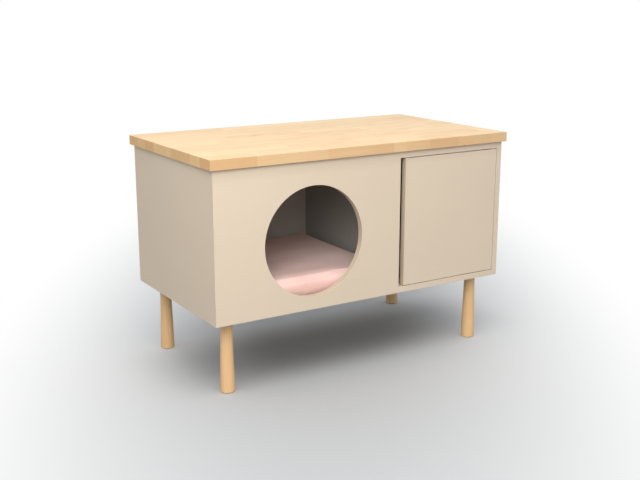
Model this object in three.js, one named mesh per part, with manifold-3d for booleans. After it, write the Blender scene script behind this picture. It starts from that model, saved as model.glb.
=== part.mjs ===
// Cat litter box cabinet on four turned legs. The left half of its front has a round entry hole
// with a cushion behind it, and the right half has a flush, side-hung door over the litter tray.
//
// Millimetres, +X right, +Y back, +Z up; the front faces -Y. The origin is on the floor, at the
// centre of the top board's outline. The cabinet's own parts are measured in a body frame, from
// the body's left face, its front face and its underside.

import * as THREE from 'three';
import { mergeVertices, toCreasedNormals } from 'three/addons/utils/BufferGeometryUtils.js';
import Module from 'manifold-3d';

const wasm = await Module();
wasm.setup();

// ---- Driving dimensions -----------------------------------------------------------------------

// Top board
const TOP_LENGTH = 1000;
const TOP_DEPTH = 550;
const TOP_THICKNESS = 28;
const TOP_OVERHANG = 10;

// Body
const BODY_HEIGHT = 423;
const BOARD = 18; // thickness of every painted board
const BACK_RECESS = 12; // back panel, in from the rear edges of the side panels
const BAY_WIDTH = 364; // litter compartment, clear between divider and right side panel
const HEAD_HEIGHT = 20; // front panel above the door opening
const RAIL_DEPTH = 80; // rails under the top board, front to back

// Round entry hole in the front panel
const ENTRY_DIAMETER = 315;
const ENTRY_X = 308;
const ENTRY_Z = 196;

// Round-ended passage through the divider, just behind the front panel
const PASSAGE_WIDTH = 150;
const PASSAGE_HEIGHT = 240;
const PASSAGE_MARGIN = 12; // board left between the passage and the front panel
const PASSAGE_SILL = 112;

// Door
const DOOR_GAP = 2; // above, below and on the hinge side
const FINGER_GAP = 18; // open strip along the door's free edge

// Pivot hinges, one above and one below the door
const PIVOT_INSET = 12; // pivot axis, in from the door's hinge edge
const PIVOT_SETBACK = 6; // pivot axis, back from the front face
const LEAF_LENGTH = 54;
const LEAF_WIDTH = 14;
const LEAF_THICKNESS = 2.5;
const LEAF_SETBACK = 2; // leaf, back from the front face
const LEAF_END = 6; // leaf, past the pivot axis
const LEAF_SCREW_FIRST = 18; // first screw, from the pivot axis
const LEAF_SCREW_PITCH = 20;
const PIN_DIAMETER = 4;
const PIN_HEAD_DIAMETER = 7;
const PIN_HEAD_THICKNESS = 1.2;
const PIN_IN_DOOR = 5; // pin, past the door's edge
const WASHER_DIAMETER = 10;

// Magnetic catch under the front rail, at the door's free edge
const CATCH_LENGTH = 34;
const CATCH_DEPTH = 14;
const CATCH_HEIGHT = 14;
const CATCH_EAR_LENGTH = 11;
const CATCH_EAR_THICKNESS = 3;
const CATCH_FROM_EDGE = 45; // middle of the catch, from the door's free edge
const MAGNET_LENGTH = 24;
const MAGNET_HEIGHT = 7;
const MAGNET_DEPTH = 9;
const MAGNET_PROUD = 0.5; // magnet's face, in front of its housing
const STRIKE_LENGTH = 32;
const STRIKE_HEIGHT = 13;
const STRIKE_THICKNESS = 1.5;
const STRIKE_DROP = 1.5; // strike plate, below the door's top edge

// Legs
const LEG_HEIGHT = 212; // floor to the underside of the body, on its glide
const LEG_TOP_DIAMETER = 32;
const LEG_FOOT_DIAMETER = 42;
const LEG_FOOT_CHAMFER = 1;
const LEG_INSET = 58; // leg axis, in from the faces of the body
const GLIDE_DIAMETER = 34;
const GLIDE_THICKNESS = 1.5;

// Hanger bolt and insert nut that hold each leg
const BOLT_DIAMETER = 8;
const BOLT_NECK_DIAMETER = 6.6;
const BOLT_NECK_LENGTH = 5;
const BOLT_IN_LEG = 40;
const BOLT_IN_NUT = 12;
const BOLT_POINT = 8;
const NUT_DIAMETER = 12;
const NUT_LENGTH = 13;
const NUT_FLANGE_DIAMETER = 17;
const NUT_FLANGE_THICKNESS = 1.5;

// Countersunk screws: [head diameter, shank diameter, length]
const HINGE_SCREW = [6, 3, 14];
const STRIKE_SCREW = [6, 3, 12];
const CATCH_SCREW = [6, 3, 14];
const TOP_SCREW = [9, 4.5, 35];
const BACK_SCREW = [7, 3.5, 40];
const RAIL_SCREW_INSET = 150; // top and back screws, in from the inner faces of the side panels
const SCREW_POINT = 1.6; // length of a screw's point, in shank diameters
const RECESS_SPAN = 0.62; // cross recess, across, in head diameters
const RECESS_WIDTH = 0.16; // cross recess, slot width, in head diameters
const RECESS_DEPTH = 0.16; // cross recess, depth, in head diameters

// Litter tray
const TRAY_SIDE_GAP = 17; // rim to divider and to right side panel
const TRAY_END_GAP = 26; // rim to front panel and to back panel
const TRAY_HEIGHT = 95;
const TRAY_WALL = 3;
const TRAY_TAPER = 14; // how far each wall leans in from rim to base
const TRAY_RIM = 12; // rim, out from the wall
const TRAY_LIP = 10; // height of the rim's turned-down edge
const TRAY_CORNER_RADIUS = 55;
const TRAY_BASE_ROUND = 5;
const TRAY_RIM_ROUND = 1.5;

// Cushion on the floor of the left compartment
const CUSHION_GAP = 2; // to the boards around it, at its corners
const CUSHION_THICKNESS = 67;
const CUSHION_CROWN = 3; // extra height in the middle
const CUSHION_DRAW_IN = 4; // how far each side pulls in between its corners
const CUSHION_SEAM_HEIGHT = 26; // edge seam, above the cushion's base
const CUSHION_ROUND = 14; // rounding of the top's side and rear edges
const CUSHION_NOSE = 18; // rounding of the top's front edge
const CUSHION_BASE_ROUND = 12;

// Fits
const CLEARANCE = 0.3; // around everything that is bored, recessed or running

// Facets
const HOLE_SEGMENTS = 96;
const LEG_SEGMENTS = 32;
const HARDWARE_SEGMENTS = 12;
const TRAY_CORNER_STEPS = 6;
const CUSHION_ROUND_STEPS = 4;
const CUSHION_NOSE_STEPS = 6;
const CUSHION_MIDDLE_STEPS = 8;
const OVERCUT = 20; // how far a cutter runs past what it cuts
const MERGE_TOLERANCE = 1e-4;
const CREASE_ANGLE = Math.PI / 6;

// ---- Planes of the body frame -----------------------------------------------------------------

const BODY_WIDTH = TOP_LENGTH - 2 * TOP_OVERHANG;
const BODY_DEPTH = TOP_DEPTH - 2 * TOP_OVERHANG;

const INSIDE_LEFT = BOARD;
const INSIDE_RIGHT = BODY_WIDTH - BOARD;
const INSIDE_FRONT = BOARD;
const INSIDE_BACK = BODY_DEPTH - BACK_RECESS - BOARD;
const INSIDE_FLOOR = BOARD;
const BACK_OUTER = INSIDE_BACK + BOARD;
const RAIL_UNDERSIDE = BODY_HEIGHT - BOARD;

const DIVIDER_RIGHT = INSIDE_RIGHT - BAY_WIDTH;
const DIVIDER_LEFT = DIVIDER_RIGHT - BOARD;

const OPENING_TOP = BODY_HEIGHT - HEAD_HEIGHT;
const OPENING_BOTTOM = INSIDE_FLOOR;

const DOOR_LEFT = DIVIDER_RIGHT + FINGER_GAP;
const DOOR_RIGHT = INSIDE_RIGHT - DOOR_GAP;
const DOOR_TOP = OPENING_TOP - DOOR_GAP;
const DOOR_BOTTOM = OPENING_BOTTOM + DOOR_GAP;
const DOOR_THICKNESS = BOARD;

const PIVOT_X = DOOR_RIGHT - PIVOT_INSET;
const PIVOT_Y = PIVOT_SETBACK;

// Turns of pieces that are drawn with their head up and their point down.
const HEAD_UP = [0, 0, 0];
const HEAD_DOWN = [Math.PI, 0, 0];
const HEAD_TO_BACK = [-Math.PI / 2, 0, 0];

// ---- Materials --------------------------------------------------------------------------------

function surface(color, roughness, metalness = 0) {
  return () => new THREE.MeshStandardMaterial({ color, roughness, metalness });
}

const topWood = surface('#ecc697', 0.5);
const legWood = surface('#e2b98a', 0.5);
const paint = surface('#ddceb9', 0.6);
const plainSteel = surface('#b9babc', 0.35, 1);
const zincSteel = surface('#c3bfae', 0.4, 1);
const darkMagnet = surface('#4b4b4e', 0.5, 0.8);
const nylon = surface('#e8e6e0', 0.5);
const catchPlastic = surface('#e9e5dc', 0.5);
const trayPlastic = surface('#8d9296', 0.4);
const feltGrey = surface('#6f665c', 0.95);
const cushionCloth = surface('#e9c4b8', 0.95);

// ---- Solids -----------------------------------------------------------------------------------

function toSolid(geometry) {
  const bare = geometry.clone();
  bare.deleteAttribute('normal');
  bare.deleteAttribute('uv');
  const merged = mergeVertices(bare, MERGE_TOLERANCE);
  return new wasm.Manifold(new wasm.Mesh({
    numProp: 3,
    vertProperties: new Float32Array(merged.attributes.position.array),
    triVerts: new Uint32Array(merged.index.array),
  }));
}

function toGeometry(solid) {
  const mesh = solid.getMesh();
  const geometry = new THREE.BufferGeometry();
  geometry.setAttribute('position', new THREE.BufferAttribute(mesh.vertProperties, 3));
  geometry.setIndex(new THREE.BufferAttribute(mesh.triVerts, 1));
  return toCreasedNormals(geometry, CREASE_ANGLE);
}

// A blank with extra pieces joined on and then cutters taken away.
function shaped(blank, cutters, additions = []) {
  let solid = toSolid(blank);
  for (const addition of additions) {
    solid = solid.add(toSolid(addition));
  }
  for (const cutter of cutters) {
    solid = solid.subtract(toSolid(cutter));
  }
  return toGeometry(solid);
}

// A box between two planes along each axis.
function box([x0, x1], [y0, y1], [z0, z1]) {
  const geometry = new THREE.BoxGeometry(x1 - x0, y1 - y0, z1 - z0);
  geometry.translate((x0 + x1) / 2, (y0 + y1) / 2, (z0 + z1) / 2);
  return geometry;
}

// A turned solid about +Z, from [radius, height] points that run upwards from axis to axis.
function turned(points, segments = HARDWARE_SEGMENTS) {
  const outline = points.map(([radius, height]) => new THREE.Vector2(radius, height));
  const geometry = new THREE.LatheGeometry(outline, segments);
  geometry.rotateX(Math.PI / 2);
  return geometry;
}

function rod(radius, low, high, segments = HARDWARE_SEGMENTS) {
  return turned([[0, low], [radius, low], [radius, high], [0, high]], segments);
}

// A solid turned and moved to where it sits.
function placed(geometry, at, turn = HEAD_UP) {
  const holder = new THREE.Object3D();
  holder.position.set(...at);
  holder.rotation.set(...turn);
  holder.updateMatrix();
  return geometry.clone().applyMatrix4(holder.matrix);
}

function addMesh(parent, name, geometry, material, at = [0, 0, 0], turn = HEAD_UP) {
  const mesh = new THREE.Mesh(geometry, material());
  mesh.name = name;
  mesh.position.set(...at);
  mesh.rotation.set(...turn);
  parent.add(mesh);
  return mesh;
}

// ---- Screws -----------------------------------------------------------------------------------

// A countersunk screw with its head's face at z = 0 and its point down.
function screwGeometry([headDiameter, shankDiameter, length]) {
  const head = headDiameter / 2;
  const shank = shankDiameter / 2;
  const body = turned([
    [0, -length],
    [shank, -length + SCREW_POINT * shankDiameter],
    [shank, shank - head],
    [head, 0],
    [0, 0],
  ]);
  const span = RECESS_SPAN * head;
  const slot = RECESS_WIDTH * head;
  const depth = [-RECESS_DEPTH * headDiameter, head];
  return shaped(body, [
    box([-span, span], [-slot, slot], depth),
    box([-slot, slot], [-span, span], depth),
  ]);
}

// The hole that such a screw needs, open above its head.
function screwHole([headDiameter, shankDiameter, length]) {
  const head = headDiameter / 2;
  const shank = shankDiameter / 2;
  return turned([
    [0, -length - CLEARANCE],
    [shank + CLEARANCE, -length - CLEARANCE + SCREW_POINT * shankDiameter],
    [shank + CLEARANCE, shank - head],
    [head + CLEARANCE, 0],
    [head + CLEARANCE, head],
    [0, head],
  ]);
}

// ---- Where the fasteners sit --------------------------------------------------------------------

// Each leg's name and axis in the body frame.
const legPlaces = [];
for (const [depthName, y] of [['front', LEG_INSET], ['rear', BODY_DEPTH - LEG_INSET]]) {
  for (const [sideName, x] of [['left', LEG_INSET], ['right', BODY_WIDTH - LEG_INSET]]) {
    legPlaces.push({ name: `${depthName}_${sideName}`, x, y });
  }
}

const railYs = {
  front: [INSIDE_FRONT, INSIDE_FRONT + RAIL_DEPTH],
  rear: [INSIDE_BACK - RAIL_DEPTH, INSIDE_BACK],
};

const screwXs = {
  left: INSIDE_LEFT + RAIL_SCREW_INSET,
  right: INSIDE_RIGHT - RAIL_SCREW_INSET,
};

// Screws up through a rail into the top board.
const topScrews = [];
for (const [railName, [y0, y1]] of Object.entries(railYs)) {
  for (const [sideName, x] of Object.entries(screwXs)) {
    topScrews.push({
      name: `top_board_screw_${railName}_${sideName}`,
      at: [x, (y0 + y1) / 2, RAIL_UNDERSIDE],
      turn: HEAD_DOWN,
    });
  }
}

// Screws forward through the back panel into the bottom panel and the rear rail.
const backScrews = [];
for (const [levelName, z] of [['upper', BODY_HEIGHT - BOARD / 2], ['lower', BOARD / 2]]) {
  for (const [sideName, x] of Object.entries(screwXs)) {
    backScrews.push({
      name: `back_panel_screw_${levelName}_${sideName}`,
      at: [x, BACK_OUTER, z],
      turn: HEAD_TO_BACK,
    });
  }
}

const topScrewHoles = topScrews.map(({ at, turn }) => placed(screwHole(TOP_SCREW), at, turn));
const backScrewHoles = backScrews.map(({ at, turn }) => placed(screwHole(BACK_SCREW), at, turn));

// The two hinges are mirror images: `side` is +1 for the lower one, whose gap lies above its
// frame, and -1 for the upper one. Heights run from the frame's face into the gap and the door.
const hinges = [
  { name: 'lower', side: 1, frameZ: OPENING_BOTTOM },
  { name: 'upper', side: -1, frameZ: OPENING_TOP },
];

function hingeSpan(hinge, low, high) {
  const ends = [hinge.frameZ + hinge.side * low, hinge.frameZ + hinge.side * high];
  return ends.sort((a, b) => a - b);
}

function leafScrews(hinge, leafName) {
  const onDoor = leafName === 'door';
  const headZ = hinge.frameZ + (onDoor ? hinge.side * DOOR_GAP : 0);
  const headDown = onDoor === (hinge.side > 0);
  return [0, 1].map((index) => ({
    name: `hinge_${hinge.name}_${leafName}_screw_${index + 1}`,
    at: [
      PIVOT_X - LEAF_SCREW_FIRST - index * LEAF_SCREW_PITCH,
      LEAF_SETBACK + LEAF_WIDTH / 2,
      headZ,
    ],
    turn: headDown ? HEAD_DOWN : HEAD_UP,
  }));
}

// Catch: its middle, and the planes of its housing, magnet and strike plate.
const CATCH_X = DOOR_LEFT + CATCH_FROM_EDGE;
const STRIKE_FACE = DOOR_THICKNESS + STRIKE_THICKNESS;
const MAGNET_FACE = STRIKE_FACE + CLEARANCE;
const CATCH_FRONT = MAGNET_FACE + MAGNET_PROUD;
const STRIKE_TOP = DOOR_TOP - STRIKE_DROP;
const MAGNET_Z = STRIKE_TOP - STRIKE_HEIGHT / 2;

const catchScrews = [-1, 1].map((end, index) => ({
  name: `catch_screw_${index + 1}`,
  at: [
    CATCH_X + end * (CATCH_LENGTH + CATCH_EAR_LENGTH) / 2,
    CATCH_FRONT + CATCH_DEPTH / 2,
    RAIL_UNDERSIDE - CATCH_EAR_THICKNESS,
  ],
  turn: HEAD_DOWN,
}));

const strikeScrew = {
  name: 'strike_plate_screw',
  at: [CATCH_X, STRIKE_FACE, MAGNET_Z],
  turn: HEAD_TO_BACK,
};

// ---- Boards -----------------------------------------------------------------------------------

function topBoard() {
  const blank = box(
    [-TOP_OVERHANG, BODY_WIDTH + TOP_OVERHANG],
    [-TOP_OVERHANG, BODY_DEPTH + TOP_OVERHANG],
    [BODY_HEIGHT, BODY_HEIGHT + TOP_THICKNESS],
  );
  return shaped(blank, topScrewHoles);
}

function sidePanel(x) {
  return box([x, x + BOARD], [INSIDE_FRONT, BODY_DEPTH], [0, BODY_HEIGHT]);
}

function bottomPanel() {
  const blank = box([INSIDE_LEFT, INSIDE_RIGHT], [INSIDE_FRONT, INSIDE_BACK], [0, BOARD]);
  const nutHole = turned([
    [0, -OVERCUT],
    [NUT_FLANGE_DIAMETER / 2 + CLEARANCE, -OVERCUT],
    [NUT_FLANGE_DIAMETER / 2 + CLEARANCE, NUT_FLANGE_THICKNESS],
    [NUT_DIAMETER / 2 + CLEARANCE, NUT_FLANGE_THICKNESS],
    [NUT_DIAMETER / 2 + CLEARANCE, NUT_LENGTH + CLEARANCE],
    [0, NUT_LENGTH + CLEARANCE],
  ]);
  const nutHoles = legPlaces.map(({ x, y }) => placed(nutHole, [x, y, 0]));
  return shaped(blank, [...nutHoles, ...backScrewHoles]);
}

function backPanel() {
  const blank = box([INSIDE_LEFT, INSIDE_RIGHT], [INSIDE_BACK, BACK_OUTER], [0, BODY_HEIGHT]);
  return shaped(blank, backScrewHoles);
}

// The space that a leaf and its pin's head take up behind the frame's or the door's face.
function hingeRecess(hinge, low, high) {
  const inX = [PIVOT_X + LEAF_END - LEAF_LENGTH - CLEARANCE, PIVOT_X + LEAF_END + CLEARANCE];
  const inY = [LEAF_SETBACK - CLEARANCE, LEAF_SETBACK + LEAF_WIDTH + CLEARANCE];
  return box(inX, inY, hingeSpan(hinge, low, high));
}

function hingeBore(hinge, diameter, low, high) {
  const bore = rod(diameter / 2 + CLEARANCE, ...hingeSpan(hinge, low, high));
  return placed(bore, [PIVOT_X, PIVOT_Y, 0]);
}

function leafScrewHoles(hinge, leafName) {
  const holes = leafScrews(hinge, leafName);
  return holes.map(({ at, turn }) => placed(screwHole(HINGE_SCREW), at, turn));
}

function frontPanel() {
  const blank = box([0, BODY_WIDTH], [0, INSIDE_FRONT], [0, BODY_HEIGHT]);
  const through = [-OVERCUT, BOARD + OVERCUT];
  const entry = rod(ENTRY_DIAMETER / 2, ...through, HOLE_SEGMENTS);
  const cutters = [
    placed(entry, [ENTRY_X, 0, ENTRY_Z], HEAD_TO_BACK),
    box([DIVIDER_RIGHT, INSIDE_RIGHT], through, [OPENING_BOTTOM, OPENING_TOP]),
  ];
  const headDepth = LEAF_THICKNESS + PIN_HEAD_THICKNESS + CLEARANCE;
  for (const hinge of hinges) {
    cutters.push(hingeRecess(hinge, -LEAF_THICKNESS, DOOR_GAP));
    cutters.push(hingeBore(hinge, PIN_HEAD_DIAMETER, -headDepth, 0));
    cutters.push(...leafScrewHoles(hinge, 'frame'));
  }
  return shaped(blank, cutters);
}

// An upright slot with round ends, drawn in its own plane and then stood across the divider.
function passageCutter() {
  const radius = PASSAGE_WIDTH / 2;
  const middle = INSIDE_FRONT + PASSAGE_MARGIN + radius;
  const outline = new THREE.Shape();
  outline.absarc(middle, PASSAGE_SILL + PASSAGE_HEIGHT - radius, radius, 0, Math.PI);
  outline.absarc(middle, PASSAGE_SILL + radius, radius, Math.PI, 2 * Math.PI);
  const geometry = new THREE.ExtrudeGeometry(outline, {
    depth: BOARD + 2 * OVERCUT,
    bevelEnabled: false,
    curveSegments: HOLE_SEGMENTS / 4,
  });
  geometry.rotateX(Math.PI / 2);
  geometry.rotateZ(Math.PI / 2);
  geometry.translate(DIVIDER_LEFT - OVERCUT, 0, 0);
  return geometry;
}

// The divider stands up to the top board and is notched round both rails.
function dividerPanel() {
  const across = [DIVIDER_LEFT, DIVIDER_RIGHT];
  const blank = box(across, [INSIDE_FRONT, INSIDE_BACK], [INSIDE_FLOOR, BODY_HEIGHT]);
  const wide = [DIVIDER_LEFT - OVERCUT, DIVIDER_RIGHT + OVERCUT];
  const above = [RAIL_UNDERSIDE, BODY_HEIGHT + OVERCUT];
  return shaped(blank, [
    passageCutter(),
    box(wide, [INSIDE_FRONT - OVERCUT, railYs.front[1]], above),
    box(wide, [railYs.rear[0], INSIDE_BACK + OVERCUT], above),
  ]);
}

function frontRail() {
  const blank = box([INSIDE_LEFT, INSIDE_RIGHT], railYs.front, [RAIL_UNDERSIDE, BODY_HEIGHT]);
  const catchHoles = catchScrews.map(({ at, turn }) => placed(screwHole(CATCH_SCREW), at, turn));
  return shaped(blank, [...topScrewHoles, ...catchHoles]);
}

function rearRail() {
  const blank = box([INSIDE_LEFT, INSIDE_RIGHT], railYs.rear, [RAIL_UNDERSIDE, BODY_HEIGHT]);
  return shaped(blank, [...topScrewHoles, ...backScrewHoles]);
}

function doorPanel() {
  const blank = box([DOOR_LEFT, DOOR_RIGHT], [0, DOOR_THICKNESS], [DOOR_BOTTOM, DOOR_TOP]);
  const cutters = [placed(screwHole(STRIKE_SCREW), strikeScrew.at, strikeScrew.turn)];
  for (const hinge of hinges) {
    cutters.push(hingeRecess(hinge, 0, DOOR_GAP + LEAF_THICKNESS));
    cutters.push(hingeBore(hinge, PIN_DIAMETER, DOOR_GAP, DOOR_GAP + PIN_IN_DOOR + CLEARANCE));
    cutters.push(...leafScrewHoles(hinge, 'door'));
  }
  return shaped(blank, cutters);
}

// ---- Hinges -----------------------------------------------------------------------------------

function hingeLeaf(hinge, leafName, low, high) {
  const inX = [PIVOT_X + LEAF_END - LEAF_LENGTH, PIVOT_X + LEAF_END];
  const inY = [LEAF_SETBACK, LEAF_SETBACK + LEAF_WIDTH];
  const blank = box(inX, inY, hingeSpan(hinge, low, high));
  return shaped(blank, [
    hingeBore(hinge, PIN_DIAMETER, low - OVERCUT, high + OVERCUT),
    ...leafScrewHoles(hinge, leafName),
  ]);
}

function hingePin() {
  const head = PIN_HEAD_DIAMETER / 2;
  const shank = PIN_DIAMETER / 2;
  return turned([
    [0, -LEAF_THICKNESS - PIN_HEAD_THICKNESS],
    [head, -LEAF_THICKNESS - PIN_HEAD_THICKNESS],
    [head, -LEAF_THICKNESS],
    [shank, -LEAF_THICKNESS],
    [shank, DOOR_GAP + PIN_IN_DOOR],
    [0, DOOR_GAP + PIN_IN_DOOR],
  ]);
}

function hingeWasher() {
  const outer = WASHER_DIAMETER / 2;
  const inner = PIN_DIAMETER / 2 + CLEARANCE;
  return turned([
    [inner, CLEARANCE],
    [outer, CLEARANCE],
    [outer, DOOR_GAP - CLEARANCE],
    [inner, DOOR_GAP - CLEARANCE],
    [inner, CLEARANCE],
  ]);
}

function addHinge(cabinetParts, doorParts, hinge) {
  const leafTop = DOOR_GAP + LEAF_THICKNESS;
  const prefix = `hinge_${hinge.name}`;
  const pivot = [PIVOT_X, PIVOT_Y, hinge.frameZ];
  const turn = hinge.side > 0 ? HEAD_UP : HEAD_DOWN;
  const frameLeaf = hingeLeaf(hinge, 'frame', -LEAF_THICKNESS, 0);
  const doorLeaf = hingeLeaf(hinge, 'door', DOOR_GAP, leafTop);
  addMesh(cabinetParts, `${prefix}_frame_leaf`, frameLeaf, plainSteel);
  addMesh(doorParts, `${prefix}_door_leaf`, doorLeaf, plainSteel);
  addMesh(cabinetParts, `${prefix}_pin`, hingePin(), plainSteel, pivot, turn);
  addMesh(cabinetParts, `${prefix}_washer`, hingeWasher(), nylon, pivot, turn);
  for (const screw of leafScrews(hinge, 'frame')) {
    addScrew(cabinetParts, screw, HINGE_SCREW);
  }
  for (const screw of leafScrews(hinge, 'door')) {
    addScrew(doorParts, screw, HINGE_SCREW);
  }
}

function addScrew(parent, { name, at, turn }, size) {
  addMesh(parent, name, screwGeometry(size), zincSteel, at, turn);
}

// ---- Catch ------------------------------------------------------------------------------------

function magnetBox(margin) {
  return box(
    [CATCH_X - MAGNET_LENGTH / 2 - margin, CATCH_X + MAGNET_LENGTH / 2 + margin],
    [MAGNET_FACE, MAGNET_FACE + MAGNET_DEPTH + margin],
    [MAGNET_Z - MAGNET_HEIGHT / 2 - margin, MAGNET_Z + MAGNET_HEIGHT / 2 + margin],
  );
}

function catchHousing() {
  const inY = [CATCH_FRONT, CATCH_FRONT + CATCH_DEPTH];
  const half = CATCH_LENGTH / 2;
  const reach = half + CATCH_EAR_LENGTH;
  const blank = box(
    [CATCH_X - half, CATCH_X + half],
    inY,
    [RAIL_UNDERSIDE - CATCH_HEIGHT, RAIL_UNDERSIDE],
  );
  const ears = box(
    [CATCH_X - reach, CATCH_X + reach],
    inY,
    [RAIL_UNDERSIDE - CATCH_EAR_THICKNESS, RAIL_UNDERSIDE],
  );
  const holes = catchScrews.map(({ at, turn }) => placed(screwHole(CATCH_SCREW), at, turn));
  return shaped(blank, [magnetBox(CLEARANCE), ...holes], [ears]);
}

function strikePlate() {
  const blank = box(
    [CATCH_X - STRIKE_LENGTH / 2, CATCH_X + STRIKE_LENGTH / 2],
    [DOOR_THICKNESS, STRIKE_FACE],
    [STRIKE_TOP - STRIKE_HEIGHT, STRIKE_TOP],
  );
  return shaped(blank, [placed(screwHole(STRIKE_SCREW), strikeScrew.at, strikeScrew.turn)]);
}

// ---- Legs, measured down from the underside of the body -----------------------------------------

function legGeometry() {
  const foot = LEG_FOOT_DIAMETER / 2;
  const bore = BOLT_DIAMETER / 2 + CLEARANCE;
  const base = GLIDE_THICKNESS - LEG_HEIGHT;
  return turned([
    [0, base],
    [foot - LEG_FOOT_CHAMFER, base],
    [foot, base + LEG_FOOT_CHAMFER],
    [LEG_TOP_DIAMETER / 2, 0],
    [bore, 0],
    [bore, -BOLT_IN_LEG - CLEARANCE],
    [0, -BOLT_IN_LEG - CLEARANCE],
  ], LEG_SEGMENTS);
}

function hangerBolt() {
  const thread = BOLT_DIAMETER / 2;
  const neck = BOLT_NECK_DIAMETER / 2;
  return turned([
    [0, -BOLT_IN_LEG],
    [thread, -BOLT_IN_LEG + BOLT_POINT],
    [thread, -BOLT_NECK_LENGTH],
    [neck, -BOLT_NECK_LENGTH],
    [neck, 0],
    [thread, 0],
    [thread, BOLT_IN_NUT],
    [0, BOLT_IN_NUT],
  ]);
}

function insertNut() {
  const bore = BOLT_DIAMETER / 2 + CLEARANCE;
  const outer = NUT_DIAMETER / 2;
  const flange = NUT_FLANGE_DIAMETER / 2;
  return turned([
    [bore, 0],
    [flange, 0],
    [flange, NUT_FLANGE_THICKNESS],
    [outer, NUT_FLANGE_THICKNESS],
    [outer, NUT_LENGTH],
    [bore, NUT_LENGTH],
    [bore, 0],
  ]);
}

function addLeg(parent, { name, x, y }) {
  const at = [x, y, 0];
  addMesh(parent, `leg_${name}`, legGeometry(), legWood, at);
  addMesh(parent, `hanger_bolt_${name}`, hangerBolt(), zincSteel, at);
  addMesh(parent, `insert_nut_${name}`, insertNut(), zincSteel, at);
  const glide = rod(GLIDE_DIAMETER / 2, -LEG_HEIGHT, GLIDE_THICKNESS - LEG_HEIGHT, LEG_SEGMENTS);
  addMesh(parent, `foot_glide_${name}`, glide, feltGrey, at);
}

// ---- Litter tray --------------------------------------------------------------------------------

// Points of a rounded rectangle about the origin at a height, counter-clockwise from above.
function roundedRing(width, depth, radius, height) {
  const ring = [];
  const corners = [[1, -1, -90], [1, 1, 0], [-1, 1, 90], [-1, -1, 180]];
  for (const [sideX, sideY, startDegrees] of corners) {
    for (let step = 0; step <= TRAY_CORNER_STEPS; step += 1) {
      const angle = THREE.MathUtils.degToRad(startDegrees + 90 * step / TRAY_CORNER_STEPS);
      ring.push([
        sideX * (width / 2 - radius) + radius * Math.cos(angle),
        sideY * (depth / 2 - radius) + radius * Math.sin(angle),
        height,
      ]);
    }
  }
  return ring;
}

// A closed skin through rings of equal count, with a flat cap on the first and the last.
function lofted(rings) {
  const count = rings[0].length;
  const positions = rings.flat(2);
  const indices = [];
  for (let level = 0; level < rings.length - 1; level += 1) {
    for (let step = 0; step < count; step += 1) {
      const here = level * count + step;
      const next = level * count + (step + 1) % count;
      indices.push(here, next, next + count, here, next + count, here + count);
    }
  }
  const last = (rings.length - 1) * count;
  for (let step = 1; step < count - 1; step += 1) {
    indices.push(0, step + 1, step);
    indices.push(last, last + step, last + step + 1);
  }
  const geometry = new THREE.BufferGeometry();
  geometry.setAttribute('position', new THREE.Float32BufferAttribute(positions, 3));
  geometry.setIndex(indices);
  return toCreasedNormals(geometry, CREASE_ANGLE);
}

// Each ring is an inset from the rim's outline and a height above the tray's base.
function litterTray() {
  const width = BAY_WIDTH - 2 * TRAY_SIDE_GAP;
  const depth = INSIDE_BACK - INSIDE_FRONT - 2 * TRAY_END_GAP;
  const outerFoot = TRAY_RIM + TRAY_TAPER;
  const innerFoot = outerFoot + TRAY_WALL;
  const underRim = TRAY_HEIGHT - TRAY_WALL;
  const lipEdge = TRAY_HEIGHT - TRAY_LIP;
  const profile = [
    [outerFoot + TRAY_BASE_ROUND, 0],
    [outerFoot, TRAY_BASE_ROUND],
    [TRAY_RIM, underRim],
    [TRAY_WALL, underRim],
    [TRAY_WALL, lipEdge],
    [0, lipEdge],
    [0, TRAY_HEIGHT - TRAY_RIM_ROUND],
    [TRAY_RIM_ROUND, TRAY_HEIGHT],
    [TRAY_RIM + TRAY_WALL, TRAY_HEIGHT],
    [innerFoot, TRAY_BASE_ROUND + TRAY_WALL],
    [innerFoot + TRAY_BASE_ROUND, TRAY_WALL],
  ];
  const rings = profile.map(([inset, height]) => roundedRing(
    width - 2 * inset,
    depth - 2 * inset,
    Math.max(TRAY_CORNER_RADIUS - inset, TRAY_WALL),
    height,
  ));
  return lofted(rings);
}

// ---- Cushion ------------------------------------------------------------------------------------

// How far a rounded edge has risen, from 0 at the edge to 1 where it is level.
function rise(distance, round) {
  const short = Math.max(0, 1 - distance / round);
  return Math.sqrt(1 - short * short);
}

// Distances along a side of given size, close together on the roundings at its two ends. Each
// rounding is its length and its number of steps.
function spread(size, [firstRound, firstSteps], [lastRound, lastSteps]) {
  const stops = [];
  for (let step = 0; step < firstSteps; step += 1) {
    stops.push(firstRound * (1 - Math.cos(Math.PI / 2 * step / firstSteps)));
  }
  for (let step = 0; step <= CUSHION_MIDDLE_STEPS; step += 1) {
    stops.push(firstRound + (size - firstRound - lastRound) * step / CUSHION_MIDDLE_STEPS);
  }
  for (let step = lastSteps - 1; step >= 0; step -= 1) {
    stops.push(size - lastRound * (1 - Math.cos(Math.PI / 2 * step / lastSteps)));
  }
  return stops;
}

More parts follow.
